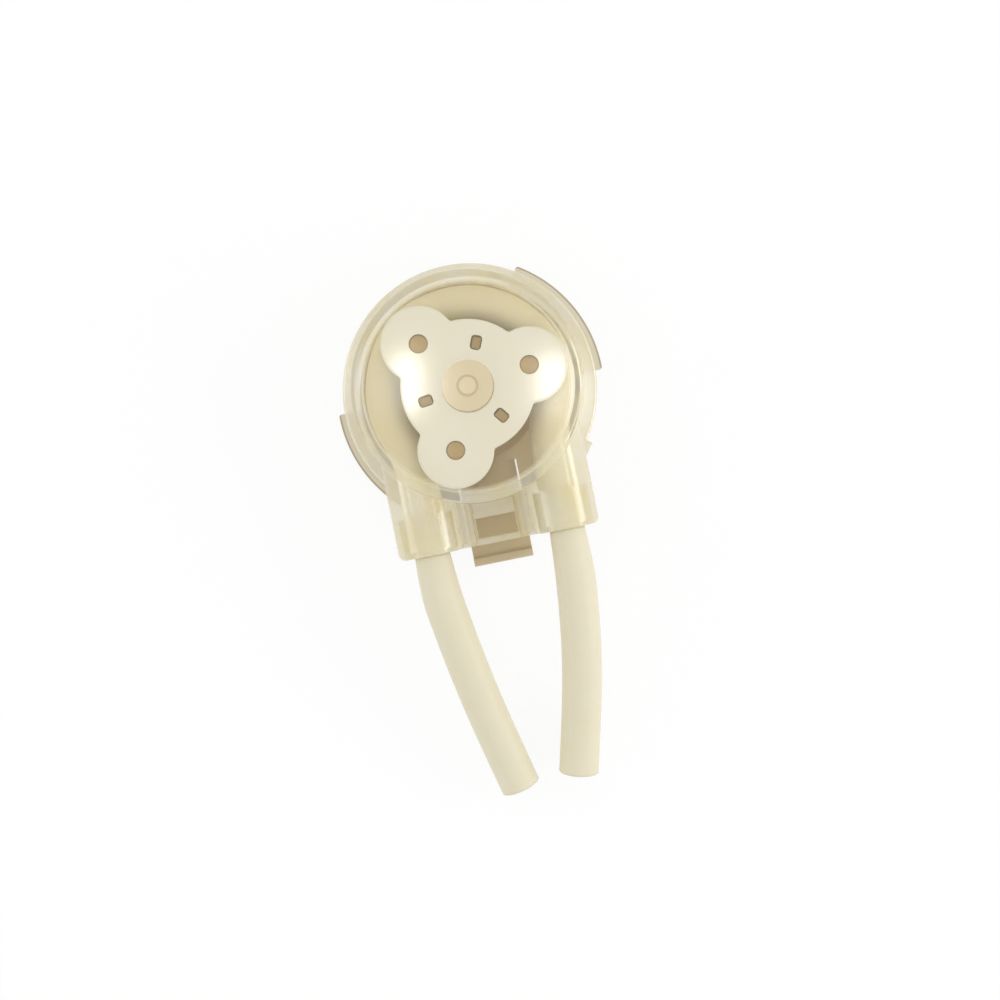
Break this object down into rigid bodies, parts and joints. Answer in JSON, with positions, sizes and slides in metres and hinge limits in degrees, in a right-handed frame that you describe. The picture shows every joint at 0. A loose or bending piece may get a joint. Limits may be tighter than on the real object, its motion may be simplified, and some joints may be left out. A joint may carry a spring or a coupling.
{
  "type": "peristaltic pump head",
  "caption": "Small clear peristaltic pump head with a roller rotor, a looped tube held in side ports, and a bayonet rear plate.",
  "frame": {"origin": "centre of the pilot bore in the rear mounting face", "axes": "+Z along the pump axis towards the window, -Y the way the two tube ports point, +X to the right seen from the window"},
  "size_m": [0.034, 0.0669, 0.0156],
  "materials": {
    "clear_amber": "clear moulded plastic with a pale amber tint",
    "smoky_amber": "moulded plastic, smoky brown",
    "white_acetal": "satin white moulding",
    "tan_nylon": "satin tan moulding",
    "washer_plastic": "smooth sheet plastic",
    "steel": "turned",
    "pump_tube": "soft matte cream tube"
  },
  "bodies": {
    "housing": {"front_housing": "clear_amber", "rear_plate": "smoky_amber", "thrust_washer": "washer_plastic", "tube_grip_left": "clear_amber", "tube_grip_right": "clear_amber", "tube_loop": "pump_tube", "tube_end_left": "pump_tube", "tube_end_right": "pump_tube"},
    "latch": {"latch_arm": "smoky_amber"},
    "rotor": {"rotor_front_plate": "white_acetal", "rotor_carrier": "tan_nylon", "drive_bush": "steel", "axle_pin_1": "tan_nylon", "axle_pin_2": "tan_nylon", "axle_pin_3": "tan_nylon", "roller_washers_rear": "washer_plastic", "roller_washers_front": "washer_plastic"},
    "roller_1": {"roller_1": "white_acetal"},
    "roller_2": {"roller_2": "white_acetal"},
    "roller_3": {"roller_3": "white_acetal"}
  },
  "joints": [
    {"name": "rotor_spin", "type": "hinge", "parent": "housing", "child": "rotor", "pos_m": [0, 0, 0.008], "axis": [0, 0, 1], "continuous": true, "deforming": ["tube_loop"]},
    {"name": "roller_1_spin", "type": "hinge", "parent": "rotor", "child": "roller_1", "pos_m": [0.00782, 0.00111, 0.008], "axis": [0, 0, 1], "continuous": true},
    {"name": "roller_2_spin", "type": "hinge", "parent": "rotor", "child": "roller_2", "pos_m": [-0.00487, 0.00622, 0.008], "axis": [0, 0, 1], "continuous": true},
    {"name": "roller_3_spin", "type": "hinge", "parent": "rotor", "child": "roller_3", "pos_m": [-0.00295, -0.00733, 0.008], "axis": [0, 0, 1], "continuous": true},
    {"name": "latch_press", "type": "hinge", "parent": "housing", "child": "latch", "pos_m": [0, -0.0095, 0.0007], "axis": [-1, 0, 0], "range_deg": [0, 5], "stiffness_Nm_per_rad": 0.4}
  ],
  "couplings": [
    {"joint": "roller_1_spin", "follows": "rotor_spin", "ratio": -3.3235},
    {"joint": "roller_2_spin", "follows": "rotor_spin", "ratio": -3.3235},
    {"joint": "roller_3_spin", "follows": "rotor_spin", "ratio": -3.3235}
  ]
}
